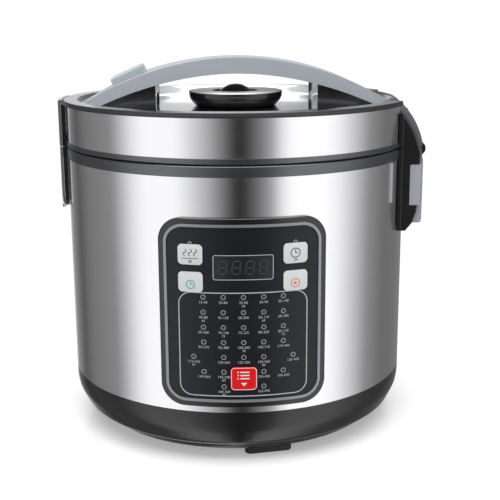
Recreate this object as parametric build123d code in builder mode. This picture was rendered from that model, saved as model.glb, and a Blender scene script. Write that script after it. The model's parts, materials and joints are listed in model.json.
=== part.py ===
from build123d import *
from math import cos, radians, sin, sqrt
import os

# A countertop multicooker: a steel drum on a black base, a hinged lid with an arched
# handle, a front control panel, a steam valve and a condensate cup.
# Millimetres, +Z up. Origin: on the drum's axis, in the plane the feet stand on.
# The panel faces -Y, the lid hinge is on +X and the latch on -X.

# ---------------------------------------------------------------- driving sizes
drum_radius = 135.0
steel = 0.8
base_height = 42.0
drum_height = 172.0
body_ring_height = 8.1
seam = 0.6
lid_ring_height = 4.3
lid_band_height = 27.7
lid_rim_height = 2.3
plate_thickness = 1.5
dish_depth = 7.0
handle_rise = 31.5
handle_thickness = 12.5
handle_radius = 226.0
handle_half_width = 21.0
handle_end_half_width = 41.0
support_inner = 62.5
wall_room = 22.5
pot_wall = 1.5
pot_headroom = 17.0
liner_gap = 4.0
foot_height = 5.5
panel_half_width = 59.5
panel_height = 139.0
bump_depth = 15.0
bump_half_width = 55.0
key_width = 17.3
key_height = 14.6
key_travel = 0.8
valve_radius = 37.8

# ---------------------------------------------------------------- clearances
slide_gap = 0.5
pin_gap = 0.06
body_gap = 0.3
key_gap = 0.4

# ---------------------------------------------------------------- levels, from the floor up
drum_top = base_height + drum_height
body_top = drum_top + body_ring_height
lid_low = body_top + seam
band_low = lid_low + lid_ring_height
band_high = band_low + lid_band_height
rim_high = band_high + lid_rim_height
plate_top = rim_high + plate_thickness
plate_low = plate_top - 3.0
dish_top = plate_top - dish_depth
dish_low = dish_top - 3.0
panel_low = base_height + 5.0
panel_high = panel_low + panel_height
drum_inner = drum_radius - steel
pot_radius = drum_radius - wall_room
flange_top = body_top - 0.5
pot_height = drum_height - pot_headroom
pot_outer_low = flange_top - pot_height
liner_radius = pot_radius + liner_gap
liner_low = pot_outer_low - 14.0
flange_radius = pot_radius + 8.5
ledge_level = flange_top - pot_wall - 0.4
deck_low = plate_low - 19.5
bump_radius = drum_radius + bump_depth
cut_reach = 35.0
os.makedirs("parts", exist_ok=True)


def keep(name, made):
    """Label a finished sub-part and write its STEP file."""
    made.part.label = name
    export_step(made.part, f"parts/{name}.step")


def turned(points):
    """Revolve an (r, z) outline around the drum's axis."""
    with BuildPart() as made:
        with BuildSketch(Plane.XZ):
            with BuildLine():
                Polyline(*points, close=True)
            make_face()
        revolve(axis=Axis.Z)
    return made.part


def tube(outer, inner, low, high):
    """A plain tube around the drum's axis."""
    return turned([(inner, low), (outer, low), (outer, high), (inner, high)])


def block(x, y, z):
    """A box given by its (low, high) extents on each axis."""
    with BuildPart() as made:
        with BuildSketch(Plane.XY.offset(z[0])):
            with Locations(((x[0] + x[1]) / 2, (y[0] + y[1]) / 2)):
                Rectangle(x[1] - x[0], y[1] - y[0])
        extrude(amount=z[1] - z[0])
    return made.part


def rod_y(x, z, radius, y_low, y_high):
    """A rod along Y."""
    with BuildPart() as made:
        with BuildSketch(Plane.XZ.offset(-y_high)):
            with Locations((x, z)):
                Circle(radius)
        extrude(amount=y_high - y_low)
    return made.part


def front_plate(width, low, high, radius, inner, outer, x=0.0):
    """A rounded panel outline seen from the front, wrapped between two drum radii."""
    with BuildPart() as made:
        with BuildSketch(Plane.XZ):
            with Locations((x, (low + high) / 2)):
                RectangleRounded(width, high - low, radius)
        extrude(amount=drum_radius + cut_reach)
        add(tube(outer, inner, low - 1, high + 1), mode=Mode.INTERSECT)
    return made.part


# ================================================================ feet and base
foot_circle = drum_radius - 25.0
foot_angles = [-80.0, 10.0, 100.0, 190.0]
plate_radius = drum_radius - 19.0
screw_circle = plate_radius - 16.0
base_low = 11.0
shell_wall = 2.5
board_low = 20.0
board_top = board_low + 1.6
board_corners_x = (-41, 31)
board_corners_y = (-66, -32)
with BuildPart() as feet:
    with BuildSketch(Plane.XY):
        with PolarLocations(foot_circle, len(foot_angles), start_angle=foot_angles[0]):
            SlotOverall(36, 9, rotation=90)
    extrude(amount=foot_height)
    fillet(feet.faces().sort_by(Axis.Z)[0:4].edges(), 1.0)
keep("feet", feet)

with BuildPart() as base_plate:
    add(turned([(0, foot_height), (plate_radius, foot_height), (plate_radius + 4.5, base_low),
                (plate_radius + 2, base_low), (plate_radius - 1, foot_height + shell_wall),
                (0, foot_height + shell_wall)]))
    with BuildSketch(Plane.XY.offset(foot_height)):
        with GridLocations(11, 0, 9, 1):
            SlotOverall(52, 5, rotation=90)
    extrude(amount=shell_wall, mode=Mode.SUBTRACT)
    with PolarLocations(screw_circle, 4, start_angle=45):
        Hole(2.1)
    with BuildSketch(Plane.XY.offset(foot_height + shell_wall)):
        with Locations(*[(x, y) for x in board_corners_x for y in board_corners_y]):
            Rectangle(6, 6)
    extrude(amount=board_low - foot_height - shell_wall)
keep("base_plate", base_plate)

inlet_half_width = 17.0
inlet_low = 13.5
inlet_high = 37.5
inlet_face = drum_radius + 1.0
inlet_gap = 0.2
shell_outline = [(plate_radius + 4.7, base_low), (drum_radius - 8, base_low + 3),
                 (drum_radius - 4, base_low + 10), (drum_radius - 1, base_low + 17),
                 (drum_radius, base_low + 25), (drum_radius, base_height)]
with BuildPart() as base_shell:
    with BuildSketch(Plane.XZ):
        with BuildLine():
            Spline(*shell_outline, tangents=[(1, 0.35), (0, 1)])
            Polyline(shell_outline[-1], (drum_radius - shell_wall, base_height))
            inner_outline = [(r - shell_wall, z) for r, z in shell_outline[:0:-1]]
            inner_outline.append((plate_radius + 3.2, base_low + 1.8))
            Spline(*inner_outline, tangents=[(0, -1), (-1, -0.35)])
            Polyline(inner_outline[-1], (plate_radius + 2.2, base_low), shell_outline[0])
        make_face()
    revolve(axis=Axis.Z)
    add(tube(drum_inner - 0.2, drum_inner - 2.2, base_height - 4, base_height + 6))
    add(block((-inlet_half_width - inlet_gap, inlet_half_width + inlet_gap),
              (drum_radius - cut_reach, drum_radius + cut_reach),
              (inlet_low - inlet_gap, inlet_high + inlet_gap)), mode=Mode.SUBTRACT)
keep("base_shell", base_shell)

with BuildPart() as base_screws:
    with BuildSketch(Plane.XY.offset(foot_height - 1.6)):
        with PolarLocations(screw_circle, 4, start_angle=45):
            Circle(3.5)
    extrude(amount=1.6)
    with BuildSketch(Plane.XY.offset(foot_height)):
        with PolarLocations(screw_circle, 4, start_angle=45):
            Circle(1.8)
    extrude(amount=9)
keep("base_screws", base_screws)

# ---------------------------------------------------------------- power inlet, at the back
socket = ((-12.0, 12.0), (inlet_face - 16.0, inlet_face + 5), (17.0, 34.0))
with BuildPart() as inlet_housing:
    add(block((-inlet_half_width, inlet_half_width), (inlet_face - 20, inlet_face),
              (inlet_low, inlet_high)))
    fillet(inlet_housing.edges().filter_by(Axis.Y), 3)
    add(block(*socket), mode=Mode.SUBTRACT)
keep("inlet_housing", inlet_housing)

with BuildPart() as inlet_pins:
    with BuildSketch(Plane.XZ.offset(4 - inlet_face)):
        with Locations((-7, 24), (0, 28.5), (7, 24)):
            Rectangle(2, 4)
    extrude(amount=12)
keep("inlet_pins", inlet_pins)

# ================================================================ drum
window_half_width = panel_half_width - 8
with BuildPart() as outer_sleeve:
    add(tube(drum_radius, drum_inner, base_height, drum_top))
    add(block((-window_half_width, window_half_width), (-drum_radius - cut_reach, cut_reach - drum_radius),
              (panel_low + 8, panel_high - 8)), mode=Mode.SUBTRACT)
keep("outer_sleeve", outer_sleeve)

hook_half_width = 8.0
slot_half_width = hook_half_width + 3.0
hook_slot = ((1.0 - drum_radius, -flange_radius - 1.9), (-slot_half_width, slot_half_width),
             (drum_top - 9.0, drum_top + 26.0))
ring_notch = ((-drum_radius - 2.0, -liner_radius), (-slot_half_width, slot_half_width),
              (drum_top - 9.0, drum_top + 26.0))
with BuildPart() as body_ring:
    add(turned([(drum_inner - 2, drum_top - 8), (drum_inner, drum_top - 8), (drum_inner, drum_top),
                (drum_radius + 0.5, drum_top), (drum_radius + 0.5, body_top - 0.8),
                (drum_radius - 0.3, body_top), (flange_radius + 1, body_top),
                (flange_radius + 1, ledge_level), (liner_radius + 1, ledge_level),
                (liner_radius + 1, drum_top), (drum_inner - 2, drum_top)]))
    add(block(*ring_notch), mode=Mode.SUBTRACT)
keep("body_ring", body_ring)

with BuildPart() as liner:
    add(turned([(liner_radius, liner_low), (liner_radius, drum_top), (liner_radius + 5, drum_top),
                (liner_radius + 5, drum_top - 0.6), (liner_radius + 0.6, drum_top - 0.6),
                (liner_radius + 0.6, liner_low - 0.6), (30, liner_low - 0.6), (30, liner_low)]))
keep("liner", liner)

with BuildPart() as band_heater:
    add(tube(liner_radius + 2.0, liner_radius + 0.6, pot_outer_low + 29.4, pot_outer_low + 65.4))
keep("band_heater", band_heater)

# ---------------------------------------------------------------- heater under the pot
heater_top = pot_outer_low - body_gap
heater_radius = pot_radius - 26.5
element_circle = heater_radius - 22.0
sensor_bore = 21.0
with BuildPart() as heater_plate:
    add(turned([(sensor_bore, heater_top - 7), (heater_radius, heater_top - 7),
                (heater_radius, heater_top - 2), (heater_radius - 2, heater_top),
                (sensor_bore, heater_top)]))
    with BuildSketch(Plane.XZ):
        with Locations((element_circle, heater_top - 7)):
            Circle(4)
    revolve(axis=Axis.Z, mode=Mode.SUBTRACT)
    with BuildSketch(Plane.XY.offset(liner_low)):
        with PolarLocations(45, 3, start_angle=90):
            Circle(5)
    extrude(amount=heater_top - 7 - liner_low)
keep("heater_plate", heater_plate)

with BuildPart() as heater_element:
    with BuildSketch(Plane.XZ):
        with Locations((element_circle, heater_top - 7)):
            Circle(3.9)
    revolve(axis=Axis.Z, revolution_arc=325)
keep("heater_element", heater_element)

with BuildPart() as sensor_holder:
    add(turned([(10, liner_low - 3), (29, liner_low - 3), (29, liner_low + 0.4), (32, liner_low + 0.4),
                (32, liner_low + 1.4), (10, liner_low + 1.4)]))
keep("sensor_holder", sensor_holder)

with BuildPart() as sensor_cap:
    add(turned([(0, heater_top), (18, heater_top), (18, heater_top - 6), (16.5, heater_top - 6),
                (16.5, heater_top - 1.5), (0, heater_top - 1.5)]))
    add(tube(7, 5, heater_top - 12, heater_top - 1.5))
keep("sensor_cap", sensor_cap)

with BuildPart() as sensor_spring:
    with BuildLine() as sensor_coil:
        Helix(pitch=2.4, height=8.0, radius=12.5, center=(0, 0, liner_low + 2.6))
    with BuildSketch(Plane(origin=sensor_coil.line @ 0, z_dir=sensor_coil.line % 0)):
        Circle(0.6)
    sweep(is_frenet=True)
keep("sensor_spring", sensor_spring)

# ---------------------------------------------------------------- pot
with BuildPart() as inner_pot:
    with BuildSketch(Plane.XZ):
        with BuildLine():
            Polyline((0, pot_outer_low), (pot_radius - 18, pot_outer_low))
            RadiusArc((pot_radius - 18, pot_outer_low), (pot_radius, pot_outer_low + 18), -18)
            Polyline((pot_radius, pot_outer_low + 18), (pot_radius, flange_top - pot_wall),
                     (flange_radius, flange_top - pot_wall), (flange_radius, flange_top),
                     (pot_radius - pot_wall, flange_top), (pot_radius - pot_wall, pot_outer_low + 18))
            RadiusArc((pot_radius - pot_wall, pot_outer_low + 18),
                      (pot_radius - 18, pot_outer_low + pot_wall), 18 - pot_wall)
            Polyline((pot_radius - 18, pot_outer_low + pot_wall), (0, pot_outer_low + pot_wall),
                     (0, pot_outer_low))
        make_face()
    revolve(axis=Axis.Z)
keep("inner_pot", inner_pot)

# ---------------------------------------------------------------- electronics in the base
with BuildPart() as power_board:
    add(block((-45, 35), (-70, -12), (board_low, board_top)))
keep("power_board", power_board)

with BuildPart() as power_components:
    add(block((-40, -14), (-62, -38), (board_top, board_top + 17.4)))
    add(block((-6, 10), (-60, -44), (board_top, board_top + 15.4)))
    with BuildSketch(Plane.XY.offset(board_top)):
        with Locations((-18, -24), (-3, -24), (12, -24)):
            Circle(5)
        with Locations((24, -54)):
            Circle(6)
    extrude(amount=14)
    add(block((56, 78), (17, 23), (liner_low - 6.6, liner_low - 0.6)))
keep("power_components", power_components)

# ================================================================ front panel
bezel_outer = drum_radius + 3.0
trim_half_width = panel_half_width - 3.6
trim_width = 2.0
trim_low = panel_low + 4.2
trim_high = panel_high - 4.2


def window_cut(inset, radius):
    """The panel outline drawn in by an inset, as a cutting block."""
    with BuildPart() as made:
        with BuildSketch(Plane.XZ):
            with Locations((0, (trim_low + trim_high) / 2)):
                RectangleRounded(2 * (trim_half_width - inset), trim_high - trim_low - 2 * inset, radius)
        extrude(amount=drum_radius + cut_reach)
    return made.part


with BuildPart() as panel_bezel:
    add(front_plate(2 * panel_half_width, panel_low, panel_high, 17, drum_radius, bezel_outer))
    fillet(panel_bezel.faces().sort_by(Axis.Y)[0].outer_wire().edges(), 1.2)
    add(window_cut(0, 14), mode=Mode.SUBTRACT)
keep("panel_bezel", panel_bezel)

with BuildPart() as panel_trim:
    add(front_plate(2 * trim_half_width, trim_low, trim_high, 14, drum_radius, bezel_outer + 0.3))
    add(window_cut(trim_width, 12), mode=Mode.SUBTRACT)
keep("panel_trim", panel_trim)

fascia_outer = bezel_outer - 0.4
fascia_inner = fascia_outer - 2.0
key_column = 37.0
upper_keys = panel_low + 113.2
lower_keys = panel_low + 93.4
menu_level = panel_low + 22.2
key_places = [(-key_column, upper_keys), (-key_column, lower_keys), (key_column, upper_keys),
              (key_column, lower_keys), (0, menu_level)]
key_names = ["key_warm", "key_time", "key_delay", "key_start", "key_menu"]
menu_size = (19.0, 17.4)
window_size = (43.0, 18.4)
window_centre = panel_low + 104.2
lamp_radius = 1.4
lamp_pitch = 11.1
lamp_first = panel_low + 82.7
near_column = 14.3
far_column = 28.4
side_column = 35.6


def lamp_places():
    """Centres of the 31 programme lamps: four full rows and three that step in."""
    columns = (-far_column, -near_column, 0, near_column, far_column)
    rows = [(columns, lamp_first - row * lamp_pitch) for row in range(4)]
    rows.append(((-side_column, -near_column, 0, near_column, side_column), lamp_first - 4 * lamp_pitch))
    rows.append(((-far_column, -near_column, near_column, far_column), lamp_first - 5 * lamp_pitch))
    rows.append(((-near_column, near_column), lamp_first - 6 * lamp_pitch))
    return [(x, z) for places, z in rows for x in places]


def key_outline(place, grow):
    """Width and height of the key that sits at a place, grown all round."""
    width, height = menu_size if place[0] == 0 else (key_width, key_height)
    return width + 2 * grow, height + 2 * grow


with BuildPart() as panel_fascia:
    add(front_plate(2 * (trim_half_width - trim_width), trim_low + trim_width, trim_high - trim_width,
                    12, fascia_inner, fascia_outer))
    with BuildSketch(Plane.XZ.offset(drum_radius - cut_reach)):
        for place in key_places:
            with Locations(place):
                RectangleRounded(*key_outline(place, key_gap), 3 + key_gap)
        with Locations((0, window_centre)):
            RectangleRounded(*window_size, 2)
        with Locations(*lamp_places()):
            Circle(lamp_radius)
    extrude(amount=2 * cut_reach, mode=Mode.SUBTRACT)
keep("panel_fascia", panel_fascia)

with BuildPart() as display_window:
    add(front_plate(window_size[0], window_centre - window_size[1] / 2,
                    window_centre + window_size[1] / 2, 2, fascia_inner, fascia_outer))
keep("display_window", display_window)

with BuildPart() as panel_lamps:
    with BuildSketch(Plane.XZ.offset(drum_radius - cut_reach)):
        with Locations(*lamp_places()):
            Circle(lamp_radius)
    extrude(amount=2 * cut_reach)
    add(tube(fascia_outer + 0.15, fascia_inner, panel_low + 3, panel_low + 93), mode=Mode.INTERSECT)
keep("panel_lamps", panel_lamps)

# ---------------------------------------------------------------- control board behind the panel
board_front = drum_radius - 12.0
board_half_width = panel_half_width - 15.5
board_sheet = 1.6
with BuildPart() as control_board:
    add(block((-board_half_width, board_half_width), (-board_front, -board_front + board_sheet),
              (panel_low + 11, panel_high - 10)))
keep("control_board", control_board)

switch_height = 4.3
with BuildPart() as key_switches:
    with BuildSketch(Plane.XZ.offset(board_front)):
        with Locations(*key_places):
            Rectangle(6, 6)
    extrude(amount=switch_height)
keep("key_switches", key_switches)

with BuildPart() as display_module:
    add(block((-20.5, 20.5), (-board_front - 9, -board_front), (window_centre - 8.2, window_centre + 8.2)))
keep("display_module", display_module)

stem_end = board_front + switch_height + key_travel + 0.4
for name, place in zip(key_names, key_places):
    with BuildPart() as key:
        with BuildSketch(Plane.XZ.offset(drum_radius - cut_reach)):
            with Locations(place):
                RectangleRounded(*key_outline(place, 0), 3)
        extrude(amount=2 * cut_reach)
        add(tube(fascia_outer + 0.6, fascia_inner, place[1] - 12, place[1] + 12), mode=Mode.INTERSECT)
        with BuildSketch(Plane.XZ.offset(stem_end)):
            with Locations(place):
                Circle(2)
        extrude(amount=sqrt(fascia_inner ** 2 - place[0] ** 2) - stem_end + 1.5)
    keep(name, key)

# ================================================================ hinge, on +X
hinge_x = bump_radius - 6.8
hinge_z = body_top - 3.1
knuckle_radius = 5.6
knuckle_half_width = 26.5
swing_radius = 10.0
swing_half_width = 31.0
ear_outer = 33.0
pin_radius = 1.75
bump_low = drum_top - 56.5
flange_half_width = bump_half_width + 3.5
cup_half_width = bump_half_width - 0.5
cup_step = 6.0
cup_low = bump_low + 5.0
cup_high = bump_low + 52.0
cup_step_level = cup_low + 15.0
cup_inner = bump_radius - 6.8
cup_outer = bump_radius + 0.8
cup_wall = 1.5


def bump_slab(inner, outer, half_width, low, high):
    """A piece of a drum-shaped wall on the hinge side, cut to a width."""
    with BuildPart() as made:
        add(tube(outer, inner, low, high))
        add(block((drum_radius - cut_reach, bump_radius + cut_reach), (-half_width, half_width),
                  (low - 1, high + 1)), mode=Mode.INTERSECT)
    return made.part


with BuildPart() as swing_room:
    add(rod_y(hinge_x, hinge_z, swing_radius, -swing_half_width, swing_half_width))
    add(block((hinge_x, hinge_x + cut_reach), (-swing_half_width, swing_half_width),
              (hinge_z - swing_radius, hinge_z + swing_radius)), mode=Mode.INTERSECT)
    add(block((hinge_x + 4, hinge_x + cut_reach), (-swing_half_width, swing_half_width),
              (cup_high + slide_gap, hinge_z)))

with BuildPart() as hinge_housing:
    add(turned([(drum_radius + 0.5, bump_low), (bump_radius - 9, bump_low), (bump_radius - 4.5, bump_low + 6),
                (bump_radius - 1.6, bump_low + 15), (bump_radius, bump_low + 34),
                (bump_radius, body_top - 2.5), (bump_radius - 1.5, body_top), (drum_radius + 0.5, body_top)]))
    add(block((drum_radius - cut_reach, bump_radius + cut_reach), (-bump_half_width, bump_half_width),
              (bump_low, body_top)), mode=Mode.INTERSECT)
    add(bump_slab(drum_radius + 0.5, drum_radius + 3, flange_half_width, bump_low + 1, body_top))
    add(bump_slab(cup_inner - slide_gap, bump_radius + 5, cup_half_width - cup_step + slide_gap,
                  cup_low - slide_gap, cup_high + slide_gap), mode=Mode.SUBTRACT)
    add(bump_slab(cup_inner - slide_gap, bump_radius + 5, bump_half_width + 1,
                  cup_step_level - slide_gap, cup_high + slide_gap), mode=Mode.SUBTRACT)
    add(rod_y(hinge_x, hinge_z, knuckle_radius + 1.2, -knuckle_half_width - 0.5, knuckle_half_width + 0.5),
        mode=Mode.SUBTRACT)
    add(swing_room.part, mode=Mode.SUBTRACT)
    for side in (-1, 1):
        ends = sorted((side * (knuckle_half_width + 0.5), side * ear_outer))
        add(rod_y(hinge_x, hinge_z, knuckle_radius, *ends))
    add(tube(drum_radius + 0.5, drum_radius - 20, bump_low, body_top + 10), mode=Mode.SUBTRACT)
    add(rod_y(hinge_x, hinge_z, pin_radius, -ear_outer, ear_outer), mode=Mode.SUBTRACT)
keep("hinge_housing", hinge_housing)

with BuildPart() as hinge_pin:
    add(rod_y(hinge_x, hinge_z, pin_radius, -ear_outer, ear_outer))
keep("hinge_pin", hinge_pin)

spring_half_width = 7.0
with BuildPart() as hinge_spring:
    with BuildLine() as hinge_coil:
        Helix(pitch=1.7, height=2 * spring_half_width - 2.4, radius=2.75,
              center=(hinge_x, -spring_half_width + 1.2, hinge_z), direction=(0, 1, 0))
    with BuildSketch(Plane(origin=hinge_coil.line @ 0, z_dir=hinge_coil.line % 0)):
        Circle(0.55)
    sweep(is_frenet=True)
keep("hinge_spring", hinge_spring)

with BuildPart() as collector_cup:
    add(bump_slab(cup_inner, cup_outer, cup_half_width, cup_step_level, cup_high))
    add(bump_slab(cup_inner, cup_outer, cup_half_width - cup_step, cup_low, cup_step_level))
    add(bump_slab(cup_inner + cup_wall, cup_outer - cup_wall, cup_half_width - cup_step - cup_wall,
                  cup_low + cup_wall, cup_high + 5), mode=Mode.SUBTRACT)
keep("collector_cup", collector_cup)

# ================================================================ latch side, on -X
tongue_half_width = 22.0
tongue_low = drum_top - 42.4
tongue_inner = drum_radius + 0.5
tongue_split = drum_radius + 3.6
tongue_outer = drum_radius + 6.0


def tongue_slab(inner, outer, half_width, low, high):
    """A piece of the latch tongue's wall."""
    with BuildPart() as made:
        add(tube(outer, inner, low, high))
        add(block((-drum_radius - cut_reach, cut_reach - drum_radius), (-half_width, half_width),
                  (low - 1, high + 1)), mode=Mode.INTERSECT)
    return made.part


with BuildPart() as strike_frame:
    add(tongue_slab(tongue_inner, tongue_split, tongue_half_width - 1.5, tongue_low + 2, body_top))
    lower_corners = strike_frame.edges().filter_by(GeomType.LINE).group_by(Axis.Z)[0]
    fillet(lower_corners.filter_by(Axis.X), 9)
keep("strike_frame", strike_frame)

with BuildPart() as strike_cover:
    add(tongue_slab(tongue_split, tongue_outer, tongue_half_width, tongue_low, body_top))
    fillet(strike_cover.edges().filter_by(Axis.X).group_by(Axis.Z)[0], 11)
keep("strike_cover", strike_cover)

nose_inner = -flange_radius - 5.5
latch_gap = 0.4
pivot_x = 15.0 - drum_radius
pivot_z = plate_low - 12.5
latch_pin_radius = 1.5
with BuildPart() as latch_catch:
    add(block((nose_inner + latch_gap, -flange_radius - 1.0), (-slot_half_width, slot_half_width),
              (body_top - 4.5, flange_top)))
keep("latch_catch", latch_catch)

# ================================================================ lid shell
skin = 1.6


def under_cover(depth):
    """All that lies inside the hinge cover's curved top, sunk by a depth."""
    low = (bump_radius - depth, lid_low)
    middle = (bump_radius - 10.6 - 0.75 * depth, (lid_low + plate_top) / 2 + 5.6 - 0.6 * depth)
    high = (bump_radius - 23 - 1.6 * depth, plate_top)
    with BuildPart() as made:
        with BuildSketch(Plane.XZ):
            with BuildLine():
                ThreePointArc(low, middle, high)
                Polyline(high, (0, plate_top), (0, lid_low), low)
            make_face()
        revolve(axis=Axis.Z)
    return made.part


with BuildPart() as cover_room:
    add(block((drum_radius - cut_reach, bump_radius + cut_reach), (-bump_half_width, bump_half_width),
              (lid_low, plate_top)))
    add(under_cover(skin), mode=Mode.SUBTRACT)

with BuildPart() as lid_ring:
    add(turned([(flange_radius - 2.5, lid_low), (drum_radius - 0.3, lid_low),
                (drum_radius + 0.5, lid_low + 0.8), (drum_radius + 0.5, band_low), (drum_inner, band_low),
                (drum_inner, band_high - 0.3), (drum_inner - 2, band_high - 0.3), (drum_inner - 2, band_low),
                (flange_radius - 2.5, band_low)]))
    add(block(*hook_slot), mode=Mode.SUBTRACT)
    add(cover_room.part, mode=Mode.SUBTRACT)
keep("lid_ring", lid_ring)

with BuildPart() as lid_band:
    add(tube(drum_radius, drum_inner, band_low, band_high))
    add(cover_room.part, mode=Mode.SUBTRACT)
keep("lid_band", lid_band)

rim_radius = drum_radius + 2.2
with BuildPart() as lid_rim:
    add(turned([(drum_inner - 1, band_high), (rim_radius - 0.6, band_high), (rim_radius, band_high + 0.6),
                (rim_radius, rim_high), (drum_inner - 1, rim_high)]))
    add(cover_room.part, mode=Mode.SUBTRACT)
keep("lid_rim", lid_rim)

# Arched handle outline: two arcs that meet the lid's plate.
handle_top = plate_top + handle_rise
top_centre = handle_top - handle_radius
under_radius = 256.0
under_centre = handle_top - handle_thickness - under_radius

button_x = -support_inner - 21.5
button_z = top_centre + sqrt(handle_radius ** 2 - button_x ** 2)
button_tilt = 24.0
button_plane = Plane(origin=(button_x, 0, button_z),
                     x_dir=(cos(radians(button_tilt)), 0, sin(radians(button_tilt))),
                     z_dir=(-sin(radians(button_tilt)), 0, cos(radians(button_tilt))))
button_length = 27.0
button_width = 30.0
button_skirt = 6.5
button_proud = 6.4
stem_length = 28.0
stem_radius = 3.0
stem_tip_x = button_x + stem_length * sin(radians(button_tilt))
stem_tip_z = button_z - stem_length * cos(radians(button_tilt))

seat_bore = 14.6
seat_neck = 19.5
screw_x = support_inner + 7.5
screw_places = [(x, y) for x in (-screw_x, screw_x) for y in (-26, 26)]
plate_radius_top = drum_radius + 1.8
dish_radius = drum_radius - 9.0
with BuildPart() as lid_plate:
    add(turned([(seat_neck, dish_low), (dish_radius - 2, dish_low), (dish_radius + 2.5, plate_low),
                (drum_inner - 1.2, plate_low), (drum_inner - 1.2, rim_high), (plate_radius_top, rim_high),
                (plate_radius_top, plate_top - 0.5), (plate_radius_top - 0.5, plate_top),
                (dish_radius, plate_top), (dish_radius - 1.2, plate_top - 2.5),
                (dish_radius - 3, dish_top + 1.2), (dish_radius - 6, dish_top), (seat_neck, dish_top)]))
    with BuildSketch(Plane.XY.offset(dish_low - 1)):
        with Locations((stem_tip_x - 3, 0)):
            SlotOverall(18, 12)
        with Locations(*screw_places):
            Circle(2.1)
    extrude(amount=5, mode=Mode.SUBTRACT)
    add(cover_room.part, mode=Mode.SUBTRACT)
keep("lid_plate", lid_plate)

with BuildPart() as lid_deck:
    add(turned([(pot_radius + 3.9, lid_low + 0.5), (pot_radius + 5.8, lid_low + 0.5),
                (pot_radius + 5.8, band_low), (drum_inner - 2.2, band_low), (drum_inner - 2.2, band_low + 2),
                (pot_radius + 5.8, band_low + 2), (pot_radius + 5.8, deck_low + 2),
                (seat_bore + 2.8, deck_low + 2), (seat_bore + 2.8, deck_low), (pot_radius + 3.9, deck_low)]))
    add(block(*hook_slot), mode=Mode.SUBTRACT)
    for side in (-1, 1):
        wall = sorted((side * (hook_half_width + 0.6), side * (hook_half_width + 4)))
        add(block((pivot_x - 2, pivot_x + 5), wall, (deck_low - 7, pivot_z + 4)))
    add(block((pivot_x - 3, pivot_x + 6), (-14, 14), (lid_low, deck_low)), mode=Mode.SUBTRACT)
    add(rod_y(pivot_x, pivot_z, latch_pin_radius, -20, 20), mode=Mode.SUBTRACT)
keep("lid_deck", lid_deck)

with BuildPart() as inner_cover:
    add(turned([(0, deck_low - 3), (pot_radius - 2, deck_low - 3), (pot_radius - 2, lid_low + 3),
                (pot_radius + 2, lid_low + 3), (pot_radius + 2, lid_low + 2), (pot_radius - 3, lid_low + 2),
                (pot_radius - 3, deck_low - 4), (0, deck_low - 4)]))
    with BuildSketch(Plane.XY.offset(deck_low - 5)):
        with PolarLocations(42, 6):
            SlotOverall(14, 3, rotation=90)
    extrude(amount=3, mode=Mode.SUBTRACT)
keep("inner_cover", inner_cover)

with BuildPart() as cover_seal:
    add(turned([(pot_radius - 1.8, flange_top + 0.4), (pot_radius + 3.5, flange_top + 0.4),
                (pot_radius + 3.5, lid_low + 4), (pot_radius + 2, lid_low + 4), (pot_radius + 2, lid_low + 2),
                (pot_radius - 1.8, lid_low + 2)]))
keep("cover_seal", cover_seal)

with BuildPart() as valve_seat:
    add(turned([(seat_bore, deck_low), (seat_bore + 2.8, deck_low), (seat_bore + 2.8, dish_low - 2),
                (seat_neck + 4, dish_low - 2), (seat_neck + 4, dish_low), (seat_neck, dish_low),
                (seat_neck, dish_top), (seat_bore, dish_top)]))
keep("valve_seat", valve_seat)

# ---------------------------------------------------------------- hinge cover and tongue on the lid
with BuildPart() as hinge_skin:
    add(under_cover(0))
    add(cover_room.part, mode=Mode.INTERSECT)
    for side in (-1, 1):
        ear_room = sorted((side * knuckle_half_width, side * (ear_outer + 0.5)))
        add(rod_y(hinge_x, hinge_z, knuckle_radius + 0.8, *ear_room), mode=Mode.SUBTRACT)
keep("hinge_skin", hinge_skin)

with BuildPart() as hinge_cover:
    add(under_cover(skin))
    add(block((drum_radius - cut_reach, bump_radius + cut_reach), (-bump_half_width, bump_half_width),
              (lid_low, band_high - 3)), mode=Mode.INTERSECT)
    add(bump_slab(drum_radius + 0.5, drum_radius + 3, flange_half_width, lid_low, band_high - 6))
    add(tube(drum_radius + 0.5, drum_radius - 40, lid_low, plate_top), mode=Mode.SUBTRACT)
    for side in (-1, 1):
        ear_room = sorted((side * knuckle_half_width, side * (ear_outer + 0.5)))
        knuckle = sorted((side * (spring_half_width + 0.6), side * knuckle_half_width))
        add(rod_y(hinge_x, hinge_z, knuckle_radius + 0.8, *ear_room), mode=Mode.SUBTRACT)
        add(block((hinge_x - 3, hinge_x + 2.8), knuckle, (hinge_z, lid_low + 1)))
        add(rod_y(hinge_x, hinge_z, knuckle_radius, *knuckle))
    add(rod_y(hinge_x, hinge_z, knuckle_radius + 0.5, -spring_half_width - 0.6, spring_half_width + 0.6),
        mode=Mode.SUBTRACT)
    add(rod_y(hinge_x, hinge_z, pin_radius + pin_gap, -ear_outer, ear_outer), mode=Mode.SUBTRACT)
    add(hinge_skin.part, mode=Mode.SUBTRACT)
keep("hinge_cover", hinge_cover)

with BuildPart() as latch_frame:
    add(tongue_slab(tongue_inner, tongue_split, tongue_half_width - 1.5, lid_low, band_high))
keep("latch_frame", latch_frame)

with BuildPart() as latch_cover:
    add(tongue_slab(tongue_split, tongue_outer, tongue_half_width, lid_low, plate_top))
    fillet(latch_cover.edges().filter_by(GeomType.CIRCLE).group_by(Axis.Z)[-1].sort_by(Axis.X)[0], 1.5)
    add(tongue_slab(rim_radius, tongue_split + 0.1, tongue_half_width, band_high, plate_top))
keep("latch_cover", latch_cover)

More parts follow.
